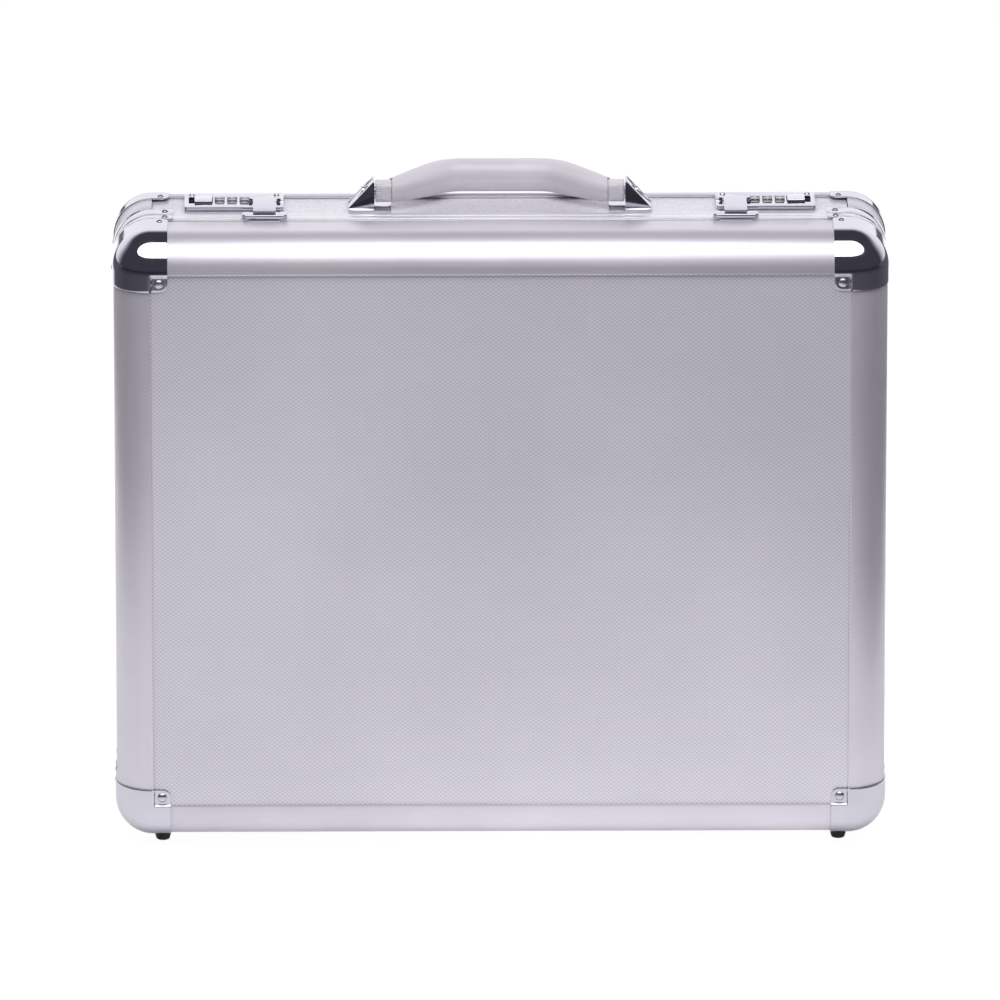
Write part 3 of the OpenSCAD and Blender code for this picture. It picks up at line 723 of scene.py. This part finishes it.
# ---- number dials ------------------------------------------------------------------------------
def dial_digits(side, index):
    """The ten digits round a dial, one between each pair of flutes."""
    low, high = (Vector(p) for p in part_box(f"dial_{side}_{index}"))
    centre = (low + high) / 2
    radius = (high.z - low.z) / 2
    pieces = []
    for digit in range(10):
        text = bpy.data.curves.new("digit", "FONT")
        text.body = str(digit)
        text.size = 3.9 * MM
        text.extrude = 0.05 * MM
        text.align_x = "CENTER"
        text.align_y = "CENTER"
        ob = bpy.data.objects.new("digit", text)
        bpy.context.scene.collection.objects.link(ob)
        bpy.context.view_layer.update()
        me = bpy.data.meshes.new_from_object(ob.evaluated_get(bpy.context.evaluated_depsgraph_get()))
        turn = Matrix.Translation(centre) @ Matrix.Rotation(math.radians(36 * digit), 4, "X")
        verts = []
        for v in me.vertices:
            bent, out = v.co.y / radius, radius + v.co.z
            verts.append(turn @ Vector((v.co.x, out * math.sin(bent), out * math.cos(bent))))
        pieces.append((verts, [tuple(p.vertices) for p in me.polygons]))
        bpy.data.objects.remove(ob)
    ob = joined(f"dial_{side}_{index}_digits", pieces)
    return finish_piece(ob, f"dial_{side}_{index}", INK)


for side in ("left", "right"):
    for index in (1, 2, 3):
        softened(f"dial_{side}_{index}", 0.25 * MM)
        dial_digits(side, index)


# ---- document pocket in the lid -------------------------------------------------------------------
def pocket():
    """A document pocket: a plain puffed face, thin at its edges."""
    low, high = (Vector(p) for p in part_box("lid_pocket"))
    steps = 40
    rows = 24
    verts = []
    for i in range(steps + 1):
        for j in range(rows + 1):
            u, v = i / steps, j / rows
            edge = min(u, 1 - u) * steps / 4, min(v, 1 - v) * rows / 3
            puff = min(1, edge[0]) * min(1, edge[1])
            depth = low.y + (high.y - low.y) * (0.35 + 0.6 * puff ** 0.5)
            verts.append(Vector((low.x + (high.x - low.x) * u, depth, low.z + (high.z - low.z) * v)))
    n = rows + 1
    faces = [(i * n + j, (i + 1) * n + j, (i + 1) * n + j + 1, i * n + j + 1)
             for i in range(steps) for j in range(rows)]
    ob = mesh_between("lid_pocket_face", verts, faces, Vector((0, low.y - 1, Z_MID)))
    thick = ob.modifiers.new("cloth", "SOLIDIFY")
    thick.thickness = 1.0 * MM
    thick.offset = -1
    sub = ob.modifiers.new("smooth", "SUBSURF")
    sub.levels = 1
    bake_modifiers(ob)
    tidy_normals(ob, 50)
    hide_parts("lid_pocket")
    finish_piece(ob, "lid_pocket", MAT["pocket"])


pocket()


# ---- stage, camera and light --------------------------------------------------------------
def area_light(name, at, look, size, power):
    data = bpy.data.lights.new(name, "AREA")
    data.shape = "ELLIPSE"
    data.size, data.size_y = size
    data.energy = power
    ob = bpy.data.objects.new(name, data)
    ob.location = at
    ob.rotation_euler = (Vector(look) - Vector(at)).to_track_quat("-Z", "Y").to_euler()
    bpy.context.scene.collection.objects.link(ob)
    return ob


def floor():
    """The floor. The camera sees it pale and mostly see-through, because the opened lid is below it.

    Reflections see another surface instead: a table top with a painted pool of light, in its colour and its
    glow, that falls away to a dim room; its painted glow is weaker towards the front.
    """
    corners = [(x * FLOOR_REACH, y * FLOOR_REACH, 0) for x, y in ((-1, -1), (1, -1), (1, 1), (-1, 1))]
    ob = object_from("floor", corners, [(0, 1, 2, 3)])
    m = new_material("pale_floor", (0.93, 0.93, 0.93), 0.9)
    bsdf = m.node_tree.nodes["Principled BSDF"]
    bsdf.inputs["Emission Color"].default_value = (1, 1, 1, 1)
    bsdf.inputs["Emission Strength"].default_value = 0.7
    table = m.node_tree.nodes.new("ShaderNodeBsdfPrincipled")
    table.inputs["Roughness"].default_value = 0.9
    tc = node(m, "ShaderNodeTexCoord")
    spread_out = node(m, "ShaderNodeMapping", vector_type="POINT")
    spread_out.inputs["Location"].default_value = (-POOL_AT[0] / POOL[0], -POOL_AT[1] / POOL[1], 0)
    spread_out.inputs["Scale"].default_value = (1 / POOL[0], 1 / POOL[1], 1)
    link(m, tc.outputs["Object"], spread_out.inputs["Vector"])
    length = node(m, "ShaderNodeVectorMath", operation="LENGTH")
    link(m, spread_out.outputs["Vector"], length.inputs[0])
    # painted pool of light: pale in the middle, dark further out, in both colour and glow
    mix = node(m, "ShaderNodeMix", data_type="RGBA")
    mix.inputs["A"].default_value = (0.93, 0.93, 0.93, 1)
    mix.inputs["B"].default_value = (0.09, 0.085, 0.105, 1)
    link(m, spread(m, length.outputs["Value"], 0, 1, (0.87, 1.1)), mix.inputs["Factor"])
    along = node(m, "ShaderNodeSeparateXYZ")
    link(m, tc.outputs["Object"], along.inputs[0])
    link(m, mix.outputs["Result"], table.inputs["Base Color"])
    link(m, mix.outputs["Result"], table.inputs["Emission Color"])
    # painted light: the table top glows, weaker towards the front and stronger behind
    link(m, spread(m, along.outputs["Y"], 0.08, 0.85, (-0.3, 1.3)), table.inputs["Emission Strength"])
    either = node(m, "ShaderNodeMixShader")
    link(m, node(m, "ShaderNodeLightPath").outputs["Is Camera Ray"], either.inputs["Fac"])
    link(m, table.outputs["BSDF"], either.inputs[1])
    see_through = node(m, "ShaderNodeMixShader")
    see_through.inputs["Fac"].default_value = FLOOR_SEE_THROUGH
    link(m, bsdf.outputs["BSDF"], see_through.inputs[1])
    link(m, node(m, "ShaderNodeBsdfTransparent").outputs["BSDF"], see_through.inputs[2])
    link(m, see_through.outputs["Shader"], either.inputs[2])
    link(m, either.outputs["Shader"], m.node_tree.nodes["Material Output"].inputs["Surface"])
    ob.data.materials.append(m)
    ob.visible_shadow = False


FLOOR_REACH = 60             # half the floor's width
FLOOR_SEE_THROUGH = 0.82     # for the camera only
POOL_AT = (-0.15, 1.9)       # middle of the floor's painted pool of light, seen in reflections
POOL = (0.95, 3.0)           # its reach in X and in Y


def world():
    """A dim room with a white wall low down behind the case. The camera sees plain white instead."""
    w = bpy.data.worlds.new("studio")
    bpy.context.scene.world = w
    w.use_nodes = True
    tree = w.node_tree
    tc = tree.nodes.new("ShaderNodeTexCoord")
    split = tree.nodes.new("ShaderNodeSeparateXYZ")
    tree.links.new(tc.outputs["Generated"], split.inputs[0])
    parts = []
    for axis, low, high, to in (("Y", 0.15, 0.75, (0, 1)), ("Z", 0.42, 0.72, (1, 0))):
        ramp = tree.nodes.new("ShaderNodeMapRange")
        ramp.interpolation_type = "SMOOTHSTEP"
        ramp.inputs["From Min"].default_value = low
        ramp.inputs["From Max"].default_value = high
        ramp.inputs["To Min"].default_value = to[0]
        ramp.inputs["To Max"].default_value = to[1]
        tree.links.new(split.outputs[axis], ramp.inputs["Value"])
        parts.append(ramp.outputs["Result"])
    both = tree.nodes.new("ShaderNodeMath")
    both.operation = "MULTIPLY"
    tree.links.new(parts[0], both.inputs[0])
    tree.links.new(parts[1], both.inputs[1])
    mix = tree.nodes.new("ShaderNodeMix")
    mix.data_type = "RGBA"
    mix.inputs["A"].default_value = (0.065, 0.06, 0.08, 1)
    mix.inputs["B"].default_value = (1.15, 1.14, 1.19, 1)
    tree.links.new(both.outputs["Value"], mix.inputs["Factor"])
    tree.links.new(mix.outputs["Result"], tree.nodes["Background"].inputs["Color"])
    plain = tree.nodes.new("ShaderNodeBackground")
    plain.inputs["Color"].default_value = (1, 1, 1, 1)
    either = tree.nodes.new("ShaderNodeMixShader")
    seen = tree.nodes.new("ShaderNodeLightPath")
    tree.links.new(seen.outputs["Is Camera Ray"], either.inputs["Fac"])
    tree.links.new(tree.nodes["Background"].outputs["Background"], either.inputs[1])
    tree.links.new(plain.outputs["Background"], either.inputs[2])
    tree.links.new(either.outputs["Shader"], tree.nodes["World Output"].inputs["Surface"])


CAMERA_DISTANCE = 9.0
CAMERA_PITCH = 16.5          # degrees down
CAMERA_YAW = 0.55            # degrees
CAMERA_AIM_Z = 0.2003
CAMERA_LENS = 542.6          # mm, on a 36 mm sensor
KEY = {"at": (0.0, -0.85, 2.0), "look": (0, -0.2, 0.2), "size": (3.0, 1.75), "power": 46}


def camera():
    distance, pitch, yaw = CAMERA_DISTANCE, math.radians(CAMERA_PITCH), math.radians(CAMERA_YAW)
    aim = Vector((0, 0, CAMERA_AIM_Z))
    ahead = Vector((math.sin(yaw) * math.cos(pitch), math.cos(yaw) * math.cos(pitch), -math.sin(pitch)))
    data = bpy.data.cameras.new("camera")
    data.sensor_width = 36
    data.lens = CAMERA_LENS
    data.clip_end = 200
    ob = bpy.data.objects.new("camera", data)
    ob.location = aim - ahead * distance
    ob.rotation_euler = ahead.to_track_quat("-Z", "Y").to_euler()
    bpy.context.scene.collection.objects.link(ob)
    bpy.context.scene.camera = ob


floor()
world()
camera()
area_light("key", **KEY)
bpy.context.scene.view_settings.view_transform = "Standard"
